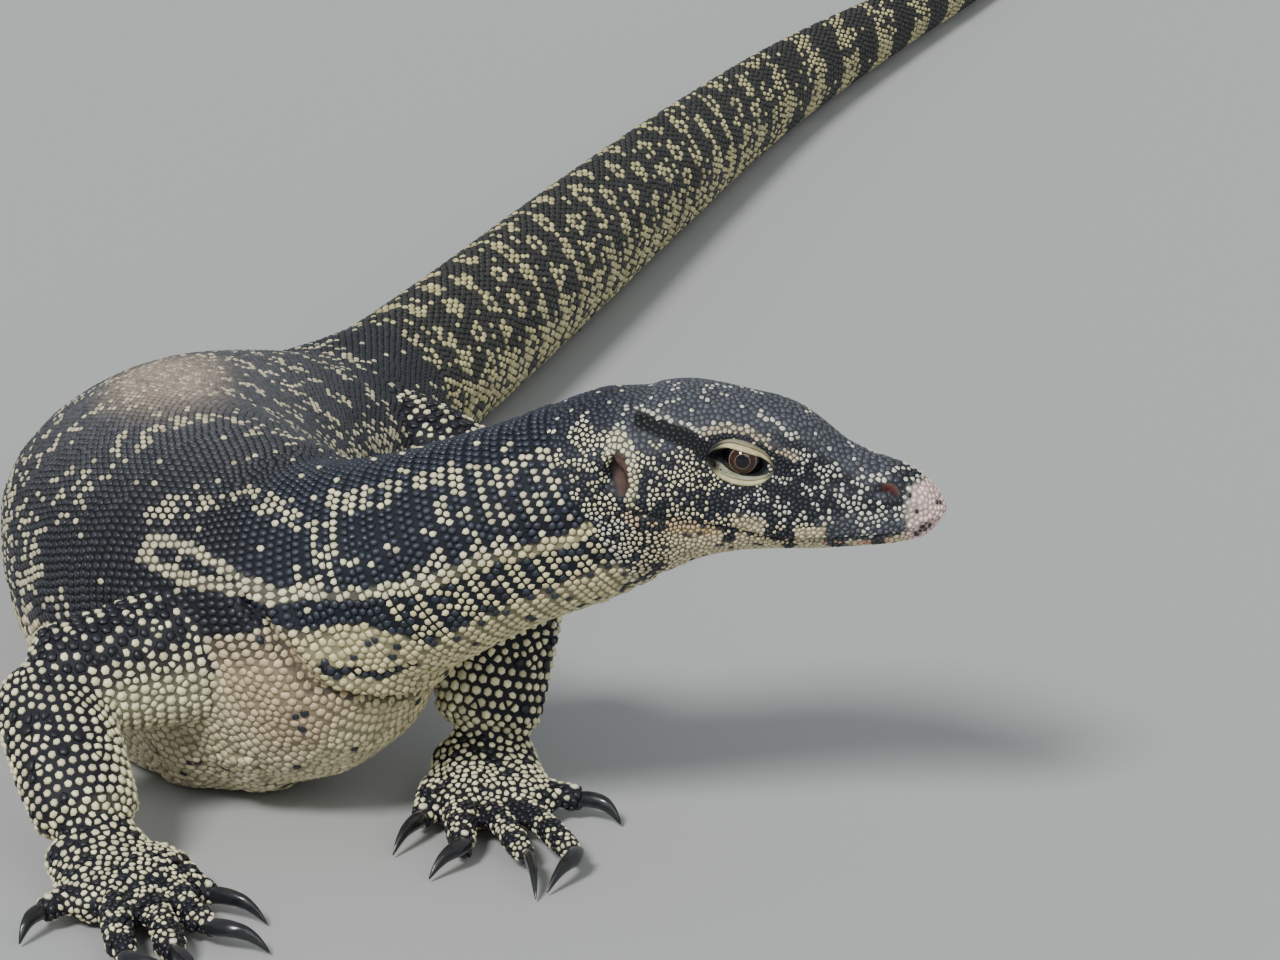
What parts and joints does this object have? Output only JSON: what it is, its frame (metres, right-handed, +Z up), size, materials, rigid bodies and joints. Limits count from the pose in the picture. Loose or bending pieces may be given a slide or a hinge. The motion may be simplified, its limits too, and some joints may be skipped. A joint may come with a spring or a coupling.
{
  "type": "water monitor lizard",
  "caption": "Life-size water monitor lizard at rest on its belly, forebody raised on its arms, head and neck turned to its left and tail laid out behind",
  "frame": {"origin": "on the floor, in the middle of the footprint's box", "axes": "+Z up from the floor; +Y from the head end towards the tail; +X the way the turned head looks"},
  "size_m": [0.4294, 1.4398, 0.1634],
  "materials": {
    "hide_body": "small glossy blue-black scales with cream spots",
    "hide_head": "slate-grey plates above, cream and black flecks on the sides",
    "hide_throat": "small cream scales with dark flecks",
    "claw_horn": "polished dark horn",
    "eye": "wet and clear, dark brown iris with a round pupil"
  },
  "bodies": {
    "root": {"head": "hide_head", "lower_jaw": "hide_throat", "eye_right": "eye", "eye_left": "eye", "neck": "hide_body", "chest": "hide_body", "trunk": "hide_body", "pelvis": "hide_body", "tail_1": "hide_body", "tail_2": "hide_body", "tail_3": "hide_body", "tail_4": "hide_body", "tail_5": "hide_body", "upper_arm_left": "hide_body", "forearm_left": "hide_body", "hand_left": "hide_body", "hand_left_claw_1": "claw_horn", "hand_left_claw_2": "claw_horn", "hand_left_claw_3": "claw_horn", "hand_left_claw_4": "claw_horn", "hand_left_claw_5": "claw_horn", "upper_arm_right": "hide_body", "forearm_right": "hide_body", "hand_right": "hide_body", "hand_right_claw_1": "claw_horn", "hand_right_claw_2": "claw_horn", "hand_right_claw_3": "claw_horn", "hand_right_claw_4": "claw_horn", "hand_right_claw_5": "claw_horn", "thigh_left": "hide_body", "shank_left": "hide_body", "foot_left": "hide_body", "foot_left_claw_1": "claw_horn", "foot_left_claw_2": "claw_horn", "foot_left_claw_3": "claw_horn", "foot_left_claw_4": "claw_horn", "foot_left_claw_5": "claw_horn", "thigh_right": "hide_body", "shank_right": "hide_body", "foot_right": "hide_body", "foot_right_claw_1": "claw_horn", "foot_right_claw_2": "claw_horn", "foot_right_claw_3": "claw_horn", "foot_right_claw_4": "claw_horn", "foot_right_claw_5": "claw_horn"}
  },
  "joints": []
}
